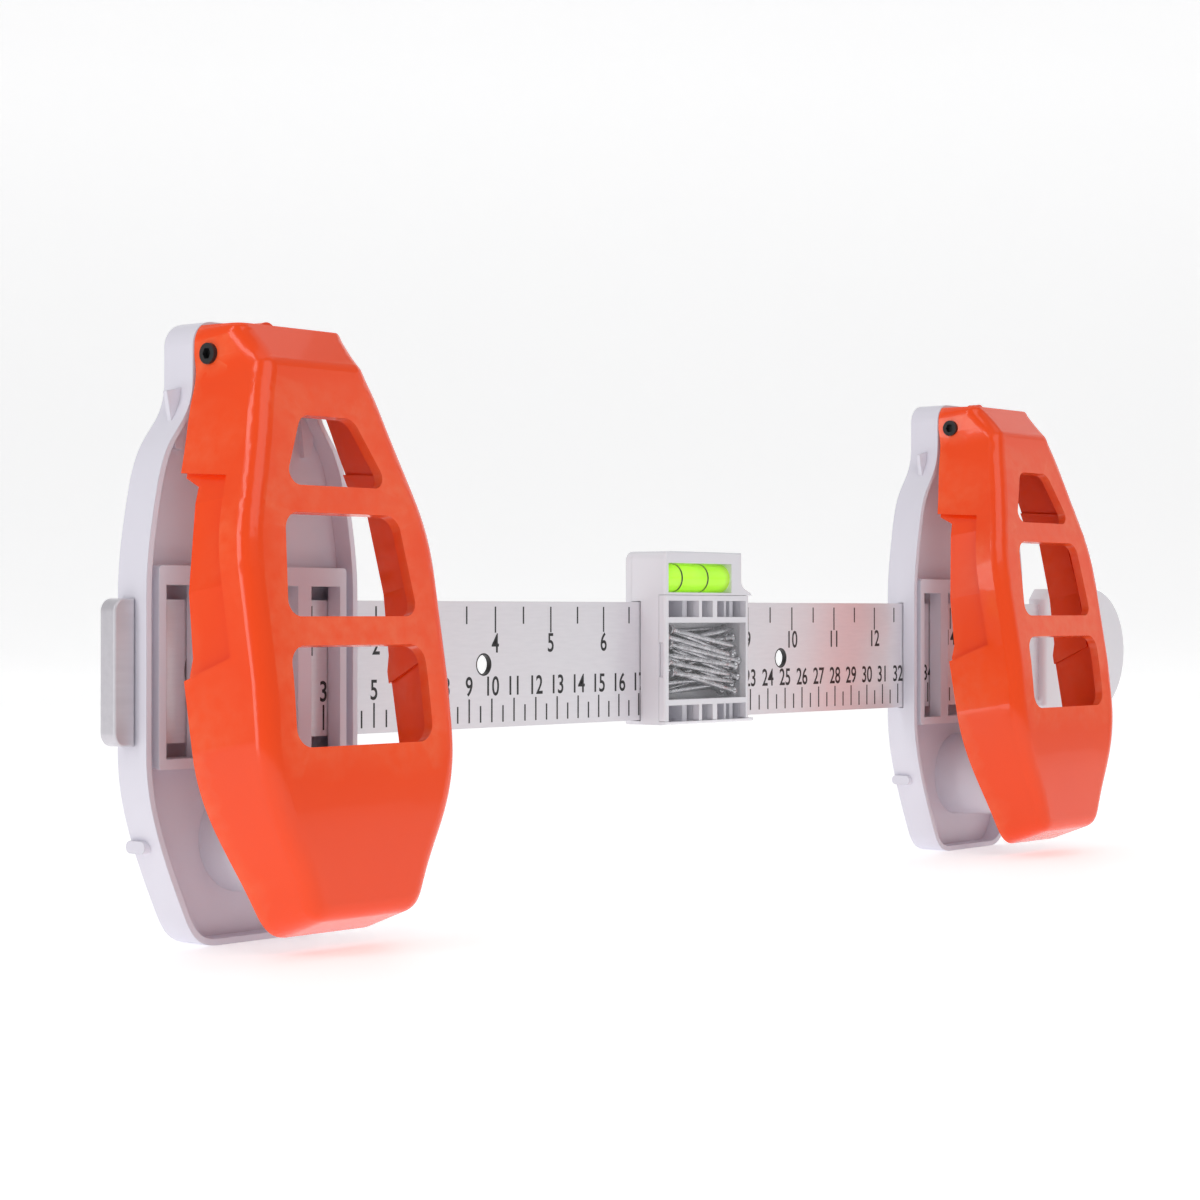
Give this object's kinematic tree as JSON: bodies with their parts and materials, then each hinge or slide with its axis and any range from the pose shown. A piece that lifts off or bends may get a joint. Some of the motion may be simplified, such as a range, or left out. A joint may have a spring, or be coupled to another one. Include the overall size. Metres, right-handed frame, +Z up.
{
  "type": "picture hanging ruler",
  "caption": "Levelling ruler with two sliding needle-marking levers, and a slider with a bubble vial and a nail box, for hanging pictures.",
  "frame": {"origin": "on the standing surface, under the middle of the whole length and depth", "axes": "+X along the ruler towards its D-shaped end, +Y towards the wall, +Z up"},
  "size_m": [0.5304, 0.0562, 0.1668],
  "materials": {
    "white_shell": "satin white with a lilac cast",
    "white_gloss": "smooth white",
    "orange_lever": "glossy orange-red",
    "ruler_metal": "pale satin, printed black scale",
    "silver_cap": "silver grey satin",
    "steel": "bright steel",
    "spring_steel": "drawn wire and leaf",
    "black_screw": "black",
    "clear_pane": "clear",
    "vial_clear": "clear acrylic",
    "vial_liquid": "neon yellow-green liquid",
    "ring_black": "black"
  },
  "bodies": {
    "ruler": {"ruler_blade": "ruler_metal", "end_cap_left": "silver_cap", "end_cap_right": "white_gloss", "cap_screws": "steel"},
    "left_arm": {"left_base_shell": "white_shell", "left_back_plate": "white_shell", "left_plate_screws": "steel", "left_hinge_screws": "black_screw", "left_return_spring": "spring_steel", "left_brake_spring": "spring_steel"},
    "left_lever_body": {"left_lever": "orange_lever"},
    "left_plunger_body": {"left_plunger": "white_gloss", "left_marking_needle": "steel"},
    "right_arm": {"right_base_shell": "white_shell", "right_back_plate": "white_shell", "right_plate_screws": "steel", "right_hinge_screws": "black_screw", "right_return_spring": "spring_steel", "right_brake_spring": "spring_steel"},
    "right_lever_body": {"right_lever": "orange_lever"},
    "right_plunger_body": {"right_plunger": "white_gloss", "right_marking_needle": "steel"},
    "slider": {"slider_body": "white_gloss", "slider_back": "white_gloss", "slider_screws": "steel", "slider_brake_spring": "spring_steel", "cover_pin": "steel", "nails": "steel", "vial_tube": "vial_clear", "vial_fluid": "vial_liquid", "vial_rings": "ring_black"},
    "cover": {"nail_cover": "white_gloss", "nail_window": "clear_pane"}
  },
  "joints": [
    {"name": "left_arm_slide", "type": "slide", "parent": "ruler", "child": "left_arm", "axis": [1, 0, 0], "range_m": [0, 0.08]},
    {"name": "left_lever_hinge", "type": "hinge", "parent": "left_arm", "child": "left_lever_body", "pos_m": [-0.2198, 0.01158, 0.1567], "axis": [1, 0, 0], "range_deg": [0, 10], "stiffness_Nm_per_rad": 0.8, "springref_deg": -8.59},
    {"name": "left_plunger_slide", "type": "slide", "parent": "left_arm", "child": "left_plunger_body", "axis": [0, 1, 0], "range_m": [0, 0.0223], "deforming": ["left_return_spring"]},
    {"name": "right_arm_slide", "type": "slide", "parent": "ruler", "child": "right_arm", "axis": [1, 0, 0], "range_m": [-0.045, 0.018]},
    {"name": "right_lever_hinge", "type": "hinge", "parent": "right_arm", "child": "right_lever_body", "pos_m": [0.1417, 0.01158, 0.1567], "axis": [1, 0, 0], "range_deg": [0, 10], "stiffness_Nm_per_rad": 0.8, "springref_deg": -8.59},
    {"name": "right_plunger_slide", "type": "slide", "parent": "right_arm", "child": "right_plunger_body", "axis": [0, 1, 0], "range_m": [0, 0.0223], "deforming": ["right_return_spring"]},
    {"name": "slider_slide", "type": "slide", "parent": "ruler", "child": "slider", "axis": [1, 0, 0], "range_m": [-0.035, 0.035]},
    {"name": "nail_cover_hinge", "type": "hinge", "parent": "slider", "child": "cover", "pos_m": [-0.0056, 0.01228, 0.074], "axis": [0, 0, 1], "range_deg": [0, 110]}
  ],
  "couplings": [
    {"joint": "left_plunger_slide", "follows": "left_lever_hinge", "m_per_rad": 0.12765},
    {"joint": "right_plunger_slide", "follows": "right_lever_hinge", "m_per_rad": 0.12765}
  ]
}
